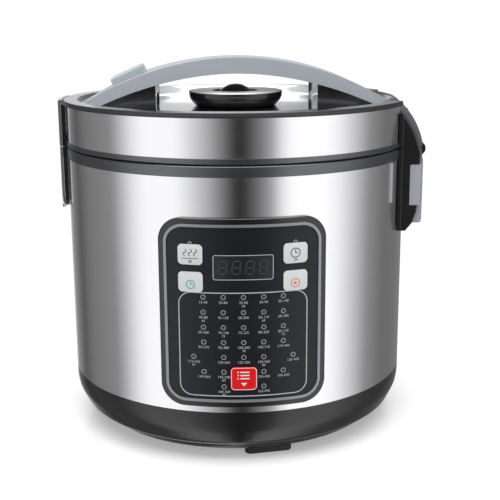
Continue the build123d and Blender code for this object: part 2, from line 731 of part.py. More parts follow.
# ================================================================ handle
support_depth = handle_half_width + 13.0
with BuildPart() as handle_supports:
    with BuildSketch(Plane.XZ.offset(-support_depth)):
        with Locations((0, under_centre)):
            Circle(under_radius)
        with Locations((0, dish_top - under_radius)):
            Rectangle(3 * under_radius, 2 * under_radius, mode=Mode.SUBTRACT)
        with Locations((0, dish_top)):
            Rectangle(2 * support_inner, 2 * (handle_rise + dish_depth), mode=Mode.SUBTRACT)
    extrude(amount=2 * support_depth)
    with BuildSketch(button_plane):
        Rectangle(button_length + 2.4, button_width + 2.4)
    extrude(amount=40, both=True, mode=Mode.SUBTRACT)
    with BuildSketch(Plane.XY.offset(dish_top)):
        with Locations(*screw_places):
            Circle(1.5)
    extrude(amount=10, mode=Mode.SUBTRACT)
keep("handle_supports", handle_supports)

with BuildPart() as handle_screws:
    with BuildSketch(Plane.XY.offset(dish_low - 2.4)):
        with Locations(*screw_places):
            Circle(3.6)
    extrude(amount=2.4)
    with BuildSketch(Plane.XY.offset(dish_low)):
        with Locations(*screw_places):
            Circle(1.5)
    extrude(amount=dish_top - dish_low + 9)
keep("handle_screws", handle_screws)

with BuildPart() as handle_grip:
    with BuildSketch(Plane.XZ.offset(-handle_end_half_width)):
        with Locations((0, top_centre)):
            Circle(handle_radius)
        with Locations((0, under_centre)):
            Circle(under_radius, mode=Mode.SUBTRACT)
    extrude(amount=2 * handle_end_half_width)
    add(turned([(0, dish_top), (dish_radius - 6, dish_top), (dish_radius - 3, dish_top + 1.2),
                (dish_radius - 1.2, plate_top - 2.5), (dish_radius, plate_top), (dish_radius, handle_top + 1),
                (0, handle_top + 1)]), mode=Mode.INTERSECT)
    with BuildSketch(Plane.XY.offset(dish_top)):
        with BuildLine():
            end = dish_radius + 4
            for side in (-1, 1):
                Spline((-end, side * handle_end_half_width), (-support_inner, side * support_depth),
                       (0, side * handle_half_width), (support_inner, side * support_depth),
                       (end, side * handle_end_half_width))
            for side in (-1, 1):
                Line((side * end, -handle_end_half_width), (side * end, handle_end_half_width))
        make_face()
    extrude(amount=handle_rise + dish_depth + 2, mode=Mode.INTERSECT)
    with BuildSketch(button_plane):
        Rectangle(button_length + 2 * slide_gap, button_width + 2 * slide_gap)
    extrude(amount=40, both=True, mode=Mode.SUBTRACT)
keep("handle_grip", handle_grip)

# ---------------------------------------------------------------- release button and latch hook
with BuildPart() as release_button:
    with BuildSketch(button_plane.offset(-button_skirt)):
        Rectangle(button_length, button_width)
    extrude(amount=button_skirt + button_proud)
    crown = release_button.faces().sort_by(Axis(button_plane.origin, button_plane.z_dir))[-1]
    fillet(crown.edges(), 2.2)
    with BuildSketch(button_plane.offset(-stem_length)):
        Circle(stem_radius)
    extrude(amount=stem_length - button_skirt)
keep("release_button", release_button)

nose_low = drum_top + 0.4
arm_top = stem_tip_z - stem_radius * sin(radians(button_tilt)) - latch_gap
with BuildPart() as latch_hook:
    with BuildSketch(Plane.XZ.offset(-hook_half_width)):
        with Locations((pivot_x, pivot_z)):
            Circle(4)
        with BuildLine():
            Polyline((pivot_x - 10.5, pivot_z + 3), (pivot_x, pivot_z + 4), (stem_tip_x + 4, arm_top),
                     (stem_tip_x + 4, arm_top - 4), (pivot_x + 3, pivot_z - 3), (pivot_x - 7.5, pivot_z - 3),
                     (pivot_x - 7.5, body_top - 5.2), (nose_inner, body_top - 6.2), (nose_inner, nose_low),
                     (pivot_x - 10.5, nose_low), close=True)
        make_face()
    extrude(amount=2 * hook_half_width)
    add(rod_y(pivot_x, pivot_z, latch_pin_radius + pin_gap, -10, 10), mode=Mode.SUBTRACT)
keep("latch_hook", latch_hook)

with BuildPart() as latch_pin:
    add(rod_y(pivot_x, pivot_z, latch_pin_radius, -hook_half_width - 4, hook_half_width + 4))
keep("latch_pin", latch_pin)

# ================================================================ steam valve
valve_low = dish_top + body_gap
cap_top = plate_top + 5.0
cap_low = cap_top - 5.8
dome_rise = 5.0
spigot = 5.5
with BuildPart() as valve_base:
    add(turned([(8, valve_low - spigot), (seat_bore - body_gap, valve_low - spigot),
                (seat_bore - body_gap, valve_low), (valve_radius - 5.8, valve_low),
                (valve_radius - 0.8, cap_low - body_gap), (8, cap_low - body_gap)]))
keep("valve_base", valve_base)

dome_radius = 13.7
recess_radius = 18.0
dome_stem = 9.6
dome_height = dome_rise + 1.5
dome_curve = (dome_radius ** 2 + dome_height ** 2) / (2 * dome_height)
with BuildPart() as valve_cap:
    add(turned([(10, cap_low), (valve_radius - 1.2, cap_low), (valve_radius - 1.2, cap_low + 0.9),
                (valve_radius, cap_low + 0.9), (valve_radius, cap_top - 0.8), (recess_radius, cap_top - 0.8),
                (recess_radius, cap_top - 1.8), (10, cap_top - 1.8)]))
keep("valve_cap", valve_cap)

with BuildPart() as valve_ring:
    add(turned([(recess_radius, cap_top - 0.8), (valve_radius, cap_top - 0.8), (valve_radius - 0.5, cap_top),
                (recess_radius + 0.5, cap_top)]))
keep("valve_ring", valve_ring)

with BuildPart() as valve_dome:
    with BuildSketch(Plane.XZ):
        with BuildLine():
            RadiusArc((dome_radius, cap_top - 1.5), (0, cap_top + dome_rise), -dome_curve)
            Polyline((0, cap_top + dome_rise), (0, cap_low + body_gap), (dome_stem, cap_low + body_gap),
                     (dome_stem, cap_top - 1.5), (dome_radius, cap_top - 1.5))
        make_face()
    revolve(axis=Axis.Z)
keep("valve_dome", valve_dome)
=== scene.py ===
# %% [markdown]
# # An electric multicooker, from its frame to its finish
# The solid model fixes every size. This lesson loads it, gives each surface a finish, softens the
# edges that catch the light, and adds the printed marks that a solid model leaves out.

# %% Load the frame
import json
import math
import bpy
from mathutils import Matrix, Vector


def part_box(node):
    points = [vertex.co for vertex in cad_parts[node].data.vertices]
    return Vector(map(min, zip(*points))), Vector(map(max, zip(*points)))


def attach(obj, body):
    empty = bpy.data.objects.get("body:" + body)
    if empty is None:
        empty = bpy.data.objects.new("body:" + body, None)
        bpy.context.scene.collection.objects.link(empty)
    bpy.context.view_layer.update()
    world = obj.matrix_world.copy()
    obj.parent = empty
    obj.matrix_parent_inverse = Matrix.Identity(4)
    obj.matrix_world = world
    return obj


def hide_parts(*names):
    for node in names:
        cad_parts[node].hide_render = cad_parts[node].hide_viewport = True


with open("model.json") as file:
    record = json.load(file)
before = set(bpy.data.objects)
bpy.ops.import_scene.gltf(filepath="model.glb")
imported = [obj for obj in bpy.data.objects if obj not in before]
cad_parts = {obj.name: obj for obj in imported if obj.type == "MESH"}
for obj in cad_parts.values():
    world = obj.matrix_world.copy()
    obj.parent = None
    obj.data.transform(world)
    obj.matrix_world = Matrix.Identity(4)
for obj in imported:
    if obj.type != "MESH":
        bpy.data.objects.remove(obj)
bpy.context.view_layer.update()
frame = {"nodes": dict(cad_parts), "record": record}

mm = 0.001

# %% [markdown]
# ## Camera
# A long lens stands a little above the lid and looks down on the panel. The drum is turned a few
# degrees, so the camera is placed by its own three directions and not by a target.

# %% Camera
camera_data = bpy.data.cameras.new("camera")
camera = bpy.data.objects.new("camera", camera_data)
bpy.context.scene.collection.objects.link(camera)
bpy.context.scene.camera = camera
camera_data.sensor_width = 36.0
camera_data.lens = 71.94
drum_turn = math.radians(2.6)
look_down = math.radians(13.52)
camera_roll = math.radians(-0.30)
level = Vector((math.cos(drum_turn), -math.sin(drum_turn), 0))
ahead = Vector((math.sin(drum_turn) * math.cos(look_down), math.cos(drum_turn) * math.cos(look_down),
                -math.sin(look_down)))
above = level.cross(ahead)
right_hand = math.cos(camera_roll) * level + math.sin(camera_roll) * above
upward = -math.sin(camera_roll) * level + math.cos(camera_roll) * above
turn = Matrix((right_hand, upward, -ahead)).transposed()
camera.matrix_world = Matrix.Translation(Vector((-25.8, -811.2, 326.0)) * mm) @ turn.to_4x4()
print("camera at", [round(value, 3) for value in camera.location])

# %% [markdown]
# ## Light
# Bright metal shows the room more than itself. The room here is a ring of tall soft panels: a narrow
# dark gap straight ahead, two wide bright panels, dim corners and a paler back wall. The brightness
# depends only on the compass direction, so a steel drum shows it as upright bands.

# %% Light
world = bpy.data.worlds.new("studio")
bpy.context.scene.world = world
bpy.context.scene.view_settings.view_transform = "Standard"
world.use_nodes = True
nodes, links = world.node_tree.nodes, world.node_tree.links
nodes.clear()
direction = nodes.new("ShaderNodeTexCoord")
split = nodes.new("ShaderNodeSeparateXYZ")
front = nodes.new("ShaderNodeMath")
front.operation = "MULTIPLY"
front.inputs[1].default_value = -1
compass = nodes.new("ShaderNodeMath")
compass.operation = "ARCTAN2"
fraction = nodes.new("ShaderNodeMapRange")
fraction.inputs["From Min"].default_value = -math.pi
fraction.inputs["From Max"].default_value = math.pi
panels = nodes.new("ShaderNodeValToRGB")
studio_panels = [(-180, 0.68), (-165, 0.62), (-156, 0.28), (-135, 0.09), (-120, 0.18), (-92, 0.24),
                 (-85, 0.42), (-72, 0.86), (-64, 1.02), (-42, 1.02), (-26, 0.58), (-12, 0.22),
                 (-5, 0.06), (0, 0.01), (4, 0.03), (14, 0.18), (22, 0.38), (27, 0.78), (34, 1.06),
                 (55, 1.12), (68, 0.95), (81, 0.62), (97, 0.26), (116, 0.15), (135, 0.16),
                 (162, 0.22), (172, 0.34), (180, 0.68)]
ramp = panels.color_ramp
while len(ramp.elements) < len(studio_panels):
    ramp.elements.new(0.5)
for stop, (degrees, value) in zip(ramp.elements, studio_panels):
    stop.position = (degrees + 180) / 360
    stop.color = (value, value, value * 1.01, 1)
room = nodes.new("ShaderNodeBackground")
paper = nodes.new("ShaderNodeBackground")
paper.inputs["Color"].default_value = (1, 1, 1, 1)
paper.inputs["Strength"].default_value = 1.05
seen = nodes.new("ShaderNodeLightPath")
choose = nodes.new("ShaderNodeMixShader")
output = nodes.new("ShaderNodeOutputWorld")
links.new(direction.outputs["Generated"], split.inputs[0])
links.new(split.outputs["Y"], front.inputs[0])
links.new(split.outputs["X"], compass.inputs[0])
links.new(front.outputs[0], compass.inputs[1])
links.new(compass.outputs[0], fraction.inputs["Value"])
links.new(fraction.outputs["Result"], panels.inputs["Fac"])
links.new(panels.outputs["Color"], room.inputs["Color"])
links.new(seen.outputs["Is Camera Ray"], choose.inputs["Fac"])
links.new(room.outputs[0], choose.inputs[1])
links.new(paper.outputs[0], choose.inputs[2])
links.new(choose.outputs[0], output.inputs["Surface"])


def soft_box(name, place, aim, width, height, power):
    """A rectangular soft light at a place, turned to face a point."""
    data = bpy.data.lights.new(name, "AREA")
    data.shape = "RECTANGLE"
    data.size = width
    data.size_y = height
    data.energy = power
    lamp = bpy.data.objects.new(name, data)
    bpy.context.scene.collection.objects.link(lamp)
    lamp.location = place
    lamp.rotation_mode = "QUATERNION"
    lamp.rotation_quaternion = (Vector(aim) - Vector(place)).to_track_quat("-Z", "Y")
    return lamp


soft_box("overhead", (0, -0.2, 1.9), (0, 0, 0.1), 2.2, 2.2, 42)
print("lights:", len(bpy.data.lights))

# %% [markdown]
# ## Helpers
# Operators act on whatever is selected, so each helper first clears the selection. A solid-model node
# is never changed: a copy of it is merged, its flat triangles are joined, and its edges are rounded.

# %% Helpers
def deselect():
    if bpy.context.object and bpy.context.object.mode != "OBJECT":
        bpy.ops.object.mode_set(mode="OBJECT")
    bpy.ops.object.select_all(action="DESELECT")


def pick(piece):
    deselect()
    piece.select_set(True)
    bpy.context.view_layer.objects.active = piece


def apply_modifier(piece, kind, **settings):
    """Add one modifier with its settings and make it permanent."""
    modifier = piece.modifiers.new(kind.lower(), kind)
    for key, value in settings.items():
        setattr(modifier, key, value)
    pick(piece)
    bpy.ops.object.modifier_apply(modifier=modifier.name)


def smooth(piece, degrees=35):
    pick(piece)
    bpy.ops.object.shade_smooth_by_angle(angle=math.radians(degrees))


def round_normals(piece):
    """Give flat faces one normal, and faces that wrap round the drum those of a turned surface."""
    mesh = piece.data
    normals = [corner.vector.copy() for corner in mesh.corner_normals]
    for face in mesh.polygons:
        centre = Vector((face.center.x, face.center.y, 0))
        centre.normalize()
        turned_away = abs(face.normal.x * -centre.y + face.normal.y * centre.x) > 0.04
        if abs(face.normal.z) > 0.9995 or abs(face.normal.y) > 0.9995 and turned_away:
            for corner in face.loop_indices:
                normals[corner] = face.normal.copy()
            continue
        if turned_away or centre.length < 0.5:
            continue
        for corner in face.loop_indices:
            place = mesh.vertices[mesh.loops[corner].vertex_index].co
            radial = Vector((place.x, place.y, 0))
            if radial.length > 4 * mm:
                radial.normalize()
                turned = radial * normals[corner].dot(radial) + Vector((0, 0, normals[corner].z))
                if turned.length > 0.5:
                    normals[corner] = turned.normalized()
    mesh.normals_split_custom_set(normals)


def solid_copy(node):
    """A clean copy of a solid-model node: doubles merged and flat triangles joined."""
    source = frame["nodes"][node]
    piece = bpy.data.objects.new(node + "_finish", source.data.copy())
    bpy.context.scene.collection.objects.link(piece)
    piece.data.materials.clear()
    pick(piece)
    bpy.ops.mesh.customdata_custom_splitnormals_clear()
    bpy.ops.object.mode_set(mode="EDIT")
    bpy.ops.mesh.select_all(action="SELECT")
    bpy.ops.mesh.remove_doubles(threshold=1e-6)
    bpy.ops.mesh.dissolve_limited(angle_limit=math.radians(0.2))
    bpy.ops.object.mode_set(mode="OBJECT")
    return piece


def finished(piece, body, material, slot, *stands_for):
    """Give a piece its material and say which body it rides on."""
    piece.data.materials.clear()
    piece.data.materials.append(material)
    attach(piece, body)
    if stands_for:
        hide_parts(*stands_for)
    return piece


def piece_finish(node):
    """The finish a node wears: its own where it has one, else the one its slot names."""
    return own_finish.get(node, finishes[slot_of_node[node]])


bodies = frame["record"]["behaviour"]["bodies"]
body_of_node = {node: body for body, names in bodies.items() for node in names}
slot_of_node = {part["node"]: part["material_slot"] for part in frame["record"]["subparts"]}

# %% [markdown]
# ## Two surface effects that many finishes share
# Moulded plastic has a very fine grain and a slightly uneven gloss in soft patches. Brushed metal has fine
# lines that run round the drum. Both are node groups, so each material can set its own scale.

# %% Shared surface effects
def node_group(name, inputs, outputs):
    group = bpy.data.node_groups.new(name, "ShaderNodeTree")
    for label, value in inputs:
        socket = group.interface.new_socket(label, in_out="INPUT", socket_type="NodeSocketFloat")
        socket.default_value = value
    for label in outputs:
        group.interface.new_socket(label, in_out="OUTPUT", socket_type="NodeSocketFloat")
    return group, group.nodes.new("NodeGroupInput"), group.nodes.new("NodeGroupOutput")


def noise_in(group, start, scale_socket, detail):
    """Noise on the object's own coordinates, with its scale taken from a group input."""
    place = group.nodes.new("ShaderNodeTexCoord")
    noise = group.nodes.new("ShaderNodeTexNoise")
    noise.inputs["Detail"].default_value = detail
    group.links.new(place.outputs["Object"], noise.inputs["Vector"])
    group.links.new(start.outputs[scale_socket], noise.inputs["Scale"])
    return noise


grain, grain_in, grain_out = node_group("moulded grain", [("Grain scale", 2600.0), ("Patch scale", 14.0)],
                                        ["Height", "Gloss patches"])
fine = noise_in(grain, grain_in, "Grain scale", 2.0)
patches = noise_in(grain, grain_in, "Patch scale", 3.0)
grain.links.new(fine.outputs["Fac"], grain_out.inputs["Height"])
grain.links.new(patches.outputs["Fac"], grain_out.inputs["Gloss patches"])

brushed, brushed_in, brushed_out = node_group("brushed lines", [("Line scale", 1.0)], ["Lines", "Cloud"])
place = brushed.nodes.new("ShaderNodeTexCoord")
stretch = brushed.nodes.new("ShaderNodeMapping")
stretch.inputs["Scale"].default_value = (9, 9, 2600)
lines = brushed.nodes.new("ShaderNodeTexNoise")
lines.inputs["Detail"].default_value = 3.0
cloud = brushed.nodes.new("ShaderNodeTexNoise")
cloud.inputs["Scale"].default_value = 9.0
brushed.links.new(place.outputs["Object"], stretch.inputs["Vector"])
brushed.links.new(stretch.outputs["Vector"], lines.inputs["Vector"])
brushed.links.new(brushed_in.outputs["Line scale"], lines.inputs["Scale"])
brushed.links.new(place.outputs["Object"], cloud.inputs["Vector"])
brushed.links.new(lines.outputs["Fac"], brushed_out.inputs["Lines"])
brushed.links.new(cloud.outputs["Fac"], brushed_out.inputs["Cloud"])
print("shared effects:", [group.name for group in bpy.data.node_groups])

# %% [markdown]
# ## Finishes
# Every finish is one Principled surface. A number that is the same all over sits on the shader itself;
# only what varies over the surface comes from a node.

# %% Building a finish
def finish_base(name, metallic, coat=0.0, coat_roughness=0.05):
    material = bpy.data.materials.new(name)
    material.use_nodes = True
    shader = material.node_tree.nodes["Principled BSDF"]
    shader.inputs["Metallic"].default_value = metallic
    shader.inputs["Coat Weight"].default_value = coat
    shader.inputs["Coat Roughness"].default_value = coat_roughness
    return material, shader


def vary(material, shader, factor, low_colour, high_colour, low_gloss, high_gloss):
    """Let a mask move the colour and the roughness between two values."""
    nodes, links = material.node_tree.nodes, material.node_tree.links
    tint = nodes.new("ShaderNodeMix")
    tint.data_type = "RGBA"
    tint.inputs["A"].default_value = (*low_colour, 1)
    tint.inputs["B"].default_value = (*high_colour, 1)
    links.new(factor, tint.inputs["Factor"])
    links.new(tint.outputs["Result"], shader.inputs["Base Color"])
    gloss = nodes.new("ShaderNodeMapRange")
    gloss.inputs["From Min"].default_value = 0.3
    gloss.inputs["From Max"].default_value = 0.7
    gloss.inputs["To Min"].default_value = low_gloss
    gloss.inputs["To Max"].default_value = high_gloss
    links.new(factor, gloss.inputs["Value"])
    links.new(gloss.outputs["Result"], shader.inputs["Roughness"])


def relief(material, shader, height, strength, distance):
    nodes, links = material.node_tree.nodes, material.node_tree.links
    bump = nodes.new("ShaderNodeBump")
    bump.inputs["Strength"].default_value = strength
    bump.inputs["Distance"].default_value = distance
    links.new(height, bump.inputs["Height"])
    links.new(bump.outputs["Normal"], shader.inputs["Normal"])


def plastic(name, colour, gloss, metallic=0.0, coat=0.0, bump=0.12, spread=0.06, scale=2600.0):
    """Moulded plastic or coating: fine grain, uneven gloss and a slightly uneven colour."""
    material, shader = finish_base(name, metallic, coat)
    effect = material.node_tree.nodes.new("ShaderNodeGroup")
    effect.node_tree = grain
    effect.inputs["Grain scale"].default_value = scale
    effect.inputs["Patch scale"].default_value = 14.0
    darker = [channel * (1 - spread) for channel in colour]
    lighter = [min(1.0, channel * (1 + spread)) for channel in colour]
    vary(material, shader, effect.outputs["Gloss patches"], darker, lighter, gloss * 0.85, gloss * 1.2)
    relief(material, shader, effect.outputs["Height"], bump, 0.00002)
    return material


def metal(name, colour, gloss, bump=0.25, spread=0.04, line_scale=1.0):
    """Brushed metal: fine lines that run round the drum."""
    material, shader = finish_base(name, 1.0)
    effect = material.node_tree.nodes.new("ShaderNodeGroup")
    effect.node_tree = brushed
    effect.inputs["Line scale"].default_value = line_scale
    darker = [channel * (1 - spread) for channel in colour]
    lighter = [min(1.0, channel * (1 + spread)) for channel in colour]
    vary(material, shader, effect.outputs["Lines"], darker, lighter, gloss * 0.9, gloss * 1.15)
    relief(material, shader, effect.outputs["Lines"], bump, 0.00001)
    return material


# %% The finishes
finishes = {
    "rubber_black": plastic("rubber", (0.022, 0.022, 0.023), 0.75, bump=0.5, scale=1500),
    "black_gloss": plastic("black gloss", (0.012, 0.012, 0.013), 0.14, coat=0.3, bump=0.03),
    "gunmetal_gloss": plastic("gunmetal gloss", (0.15, 0.155, 0.165), 0.26, metallic=0.85, bump=0.04),
    "brushed_steel": metal("brushed steel", (0.93, 0.93, 0.94), 0.15, bump=0.04),
    "silver_gloss": plastic("silver coating", (0.83, 0.84, 0.86), 0.09, metallic=1.0, bump=0.02,
                            spread=0.02),
    "grey_satin_plastic": plastic("blue grey satin", (0.40, 0.435, 0.465), 0.42, bump=0.15, spread=0.03),
    "light_grey_plastic": plastic("light grey satin", (0.47, 0.52, 0.53), 0.38, bump=0.15, spread=0.03),
    "white_plastic": plastic("white plastic", (0.78, 0.80, 0.80), 0.28, bump=0.06, spread=0.02),
    "red_plastic": plastic("red plastic", (0.80, 0.010, 0.013), 0.22, coat=0.2, bump=0.05, spread=0.08),
    "smoked_window": plastic("smoked window", (0.02, 0.022, 0.026), 0.06, coat=0.5, bump=0.01),
    "lamp_lens": plastic("lamp lens", (0.55, 0.56, 0.58), 0.25, bump=0.05),
    "aluminium": metal("satin aluminium", (0.80, 0.81, 0.82), 0.34, line_scale=0.5),
    "pot_coating": plastic("pot coating", (0.055, 0.055, 0.06), 0.36, metallic=0.4, bump=0.5,
                           spread=0.25, scale=900),
    "liner_steel": metal("liner steel", (0.62, 0.63, 0.64), 0.42, line_scale=0.4),
    "spring_steel": metal("spring steel", (0.56, 0.56, 0.57), 0.3, line_scale=0.6),
    "brass": metal("brass", (0.78, 0.58, 0.26), 0.28, line_scale=0.6),
    "latch_plastic": plastic("latch plastic", (0.05, 0.05, 0.055), 0.5, bump=0.3),
    "board_green": plastic("board lacquer", (0.012, 0.12, 0.045), 0.3, spread=0.15),
    "component_black": plastic("component black", (0.03, 0.03, 0.033), 0.45, bump=0.3),
}
own_finish = {
    "panel_trim": plastic("satin trim", (0.34, 0.345, 0.36), 0.42, metallic=0.6, bump=0.03),
    "panel_fascia": plastic("panel film", (0.016, 0.017, 0.021), 0.22, bump=0.02, spread=0.04),
    "hinge_skin": plastic("hinge skin", (0.13, 0.132, 0.14), 0.32, metallic=0.5, bump=0.04),
    "valve_ring": plastic("valve ring", (0.72, 0.72, 0.74), 0.30, metallic=0.5, bump=0.03),
    "valve_base": plastic("valve black", (0.010, 0.010, 0.011), 0.30, bump=0.05),
    "lid_plate": plastic("lid plate", (0.60, 0.605, 0.62), 0.10, metallic=1.0, bump=0.02, spread=0.02),
    "lid_rim": plastic("lid rim", (0.045, 0.046, 0.05), 0.30, metallic=0.2, bump=0.04),
}
for node, gloss in (("panel_fascia", 0.25), ("valve_base", 0.3)):
    own_finish[node].node_tree.nodes["Principled BSDF"].inputs["Specular IOR Level"].default_value = gloss
cup_material, cup_shader = finish_base("translucent cup", 0.0, coat=0.2)
cup_grain = cup_material.node_tree.nodes.new("ShaderNodeGroup")
cup_grain.node_tree = grain
vary(cup_material, cup_shader, cup_grain.outputs["Gloss patches"],
     (0.66, 0.66, 0.74), (0.72, 0.72, 0.80), 0.18, 0.26)
cup_shader.inputs["Transmission Weight"].default_value = 0.35
cup_shader.inputs["IOR"].default_value = 1.45
finishes["clear_lilac_plastic"] = cup_material
for node, piece in frame["nodes"].items():
    piece.data.materials.clear()
    piece.data.materials.append(piece_finish(node))
print("finishes:", len(finishes) + len(own_finish))

# %% [markdown]
# ## Shells with softened edges
# Real mouldings and folded steel have small radii, and those radii catch the light as thin bright
# lines. Each visible shell is a clean copy of its solid; those with a radius above zero get a small bevel on
# their sharp edges.

# %% Softened shells
edge_radius = {
    "base_shell": 0.0, "base_plate": 0.4, "outer_sleeve": 0.0, "body_ring": 0.3, "lid_ring": 0.3,
    "lid_band": 0.0, "lid_rim": 0.3, "lid_plate": 0.4, "feet": 0.0, "panel_bezel": 0.0, "panel_trim": 0.25,
    "panel_fascia": 0.15, "display_window": 0.15, "key_warm": 0.5, "key_time": 0.5, "key_delay": 0.5,
    "key_start": 0.5, "key_menu": 0.6, "hinge_housing": 0.5, "hinge_cover": 0.4, "hinge_skin": 0.4,
    "latch_cover": 0.6, "latch_frame": 0.3, "strike_cover": 0.6, "strike_frame": 0.3, "handle_supports": 0.8,
    "valve_cap": 0.3, "valve_ring": 0.25, "valve_base": 0.3, "valve_dome": 0.0, "release_button": 0.0,
    "collector_cup": 0.4, "inner_pot": 0.3, "inlet_housing": 0.4, "inner_cover": 0.2, "heater_plate": 0.4,
}
for node, radius in edge_radius.items():
    piece = solid_copy(node)
    if radius:
        apply_modifier(piece, "BEVEL", width=radius * mm, segments=3, limit_method="ANGLE",
                       angle_limit=math.radians(40), use_clamp_overlap=True)
    smooth(piece, 30)
    round_normals(piece)
    finished(piece, body_of_node[node], piece_finish(node), slot_of_node[node], node)
print("softened shells:", len(edge_radius))

# %% [markdown]
# ## The lid plate's outer edge
# The turned-down edge of the plate is painted like the rim under it, so its faces become a piece of
# their own.

# %% The lid plate's outer edge
edge_reach = 135.5 * mm
plate = bpy.data.objects["lid_plate_finish"]
pick(plate)
bpy.ops.object.mode_set(mode="EDIT")
bpy.ops.mesh.select_mode(type="FACE")
bpy.ops.mesh.select_all(action="DESELECT")
bpy.ops.object.mode_set(mode="OBJECT")
for face in plate.data.polygons:
    reach = math.hypot(face.center.x, face.center.y)
    face.select = reach > edge_reach and abs(face.normal.z) < 0.8
bpy.ops.object.mode_set(mode="EDIT")
bpy.ops.mesh.separate(type="SELECTED")
bpy.ops.object.mode_set(mode="OBJECT")
plate_edge = [piece for piece in bpy.context.selected_objects if piece is not plate][0]
plate_edge.name = "lid_plate_edge"
finished(plate_edge, "lid", own_finish["lid_rim"], slot_of_node["lid_rim"])
print("plate edge faces:", len(plate_edge.data.polygons))

# %% [markdown]
# ## The arched handle
# The handle is a strap that swells towards its ends. Its long edges are generously rounded, and the
# pocket for the button stays crisp, so only the outer long edges are given a bevel weight.

# %% The arched handle
grip = solid_copy("handle_grip")
grip_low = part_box("handle_grip")[0]
pick(grip)
bpy.ops.object.mode_set(mode="EDIT")
bpy.ops.mesh.select_mode(type="EDGE")
bpy.ops.mesh.select_all(action="DESELECT")
bpy.ops.object.mode_set(mode="OBJECT")
waist = 19.5 * mm
for edge in grip.data.edges:
    ends = [grip.data.vertices[index].co for index in edge.vertices]
    outer = all(abs(end.y) > waist for end in ends) and ends[0].y * ends[1].y > 0
    along = abs(ends[0].x - ends[1].x) > 0.2 * mm and all(end.z > grip_low.z + 0.5 * mm for end in ends)
    edge.select = outer and along
bpy.ops.object.mode_set(mode="EDIT")
bpy.ops.transform.edge_bevelweight(value=1.0)
bpy.ops.object.mode_set(mode="OBJECT")
apply_modifier(grip, "BEVEL", width=3.6 * mm, segments=6, limit_method="WEIGHT", use_clamp_overlap=True)
smooth(grip, 30)
finished(grip, "lid", finishes["grey_satin_plastic"], "grey_satin_plastic", "handle_grip")
print("handle grip faces:", len(grip.data.polygons))

# %% [markdown]
# ## Printed marks
# The panel carries thin printed lines, small rings round the lamps and generic numbers. Each mark is
# drawn flat in X and Z, then laid on the drum-shaped front just above the surface it is printed on.

# %% Drawing tools for marks
front_radius = 137.6
window_low, window_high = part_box("display_window")
window_middle = (window_low.z + window_high.z) / 2 / mm
lift = 0.06


def mark(name, points, faces):
    """A flat mark from (x, z) points in millimetres, wound so that it faces the viewer."""
    mesh = bpy.data.meshes.new(name)
    mesh.from_pydata([(x * mm, 0, z * mm) for x, z in points], [], faces)
    piece = bpy.data.objects.new(name, mesh)
    bpy.context.scene.collection.objects.link(piece)
    return piece


def rounded_loop(width, height, radius, step=3.0):
    """Points around a rounded rectangle, close enough together to follow the drum."""
    points = []
    half_x, half_z = width / 2 - radius, height / 2 - radius
    corners = [(half_x, half_z, 0), (-half_x, half_z, 90), (-half_x, -half_z, 180), (half_x, -half_z, 270)]
    for index, (x, z, start) in enumerate(corners):
        for turn_step in range(9):
            angle = math.radians(start + turn_step * 90 / 8)
            points.append((x + radius * math.cos(angle), z + radius * math.sin(angle)))
        next_x, next_z, next_start = corners[(index + 1) % 4]
        angle = math.radians(next_start)
        target = (next_x + radius * math.cos(angle), next_z + radius * math.sin(angle))
        span = math.dist(points[-1], target)
        count = max(1, int(span / step))
        last = points[-1]
        for piece_step in range(1, count):
            share = piece_step / count
            points.append((last[0] + (target[0] - last[0]) * share, last[1] + (target[1] - last[1]) * share))
    return points


def outline(name, x, z, width, height, radius, line):
    """A rounded rectangle drawn as a line of a given width."""
    outer = rounded_loop(width, height, radius)
    outer = [(x + a, z + b) for a, b in outer]
    count = len(outer)
    inner = []
    for index, (a, b) in enumerate(outer):
        before, after = outer[index - 1], outer[(index + 1) % count]
        along = Vector((after[0] - before[0], after[1] - before[1])).normalized()
        inner.append((a - along.y * line, b + along.x * line))
    faces = [(i, (i + 1) % count, count + (i + 1) % count, count + i) for i in range(count)]
    return mark(name, outer + inner, faces)


def ring(name, x, z, outer, inner, start=0, sweep=360):
    """A ring, or an arc of one."""
    count = max(6, int(sweep / 15))
    closed = sweep == 360
    angles = [math.radians(start + sweep * i / count) for i in range(count if closed else count + 1)]
    points = [(x + radius * math.cos(a), z + radius * math.sin(a))
              for radius in (outer, inner) for a in angles]
    total = len(angles)
    last = total if closed else total - 1
    faces = [(i, (i + 1) % total, total + (i + 1) % total, total + i) for i in range(last)]
    return mark(name, points, faces)


def bar(name, start, end, line):
    """A straight stroke between two points."""
    along = Vector((end[0] - start[0], end[1] - start[1]))
    across = Vector((-along.y, along.x)).normalized() * line / 2
    count = max(1, round(along.length / 1.5))
    points = []
    for side in (-1, 1):
        for step in range(count + 1):
            points.append((start[0] + along.x * step / count + side * across.x,
                           start[1] + along.y * step / count + side * across.y))
    faces = [(step, step + 1, count + step + 2, count + step + 1) for step in range(count)]
    return mark(name, points, faces)


def digits(text, x, z, size):
    """A generic number, made into a mesh before it is put in its place."""
    deselect()
    bpy.ops.object.text_add()
    piece = bpy.context.object
    piece.data.body = text
    piece.data.size = size * mm
    piece.data.resolution_u = 2
    piece.data.align_x = "CENTER"
    piece.data.align_y = "CENTER"
    bpy.ops.object.convert(target="MESH")
    for vertex in piece.data.vertices:
        vertex.co = (x * mm + vertex.co.x, 0, z * mm + vertex.co.y)
    return piece


def print_marks(name, marks, radius, body, material, slot, *stands_for):
    """Join marks into one sheet and lay it on the drum-shaped front."""
    deselect()
    for piece in marks:
        piece.select_set(True)
    bpy.context.view_layer.objects.active = marks[0]
    if len(marks) > 1:
        bpy.ops.object.join()
    piece = bpy.context.view_layer.objects.active
    piece.name = name
    for vertex in piece.data.vertices:
        vertex.co.y = -math.sqrt((radius * mm) ** 2 - vertex.co.x ** 2)
    return finished(piece, body, material, slot, *stands_for)


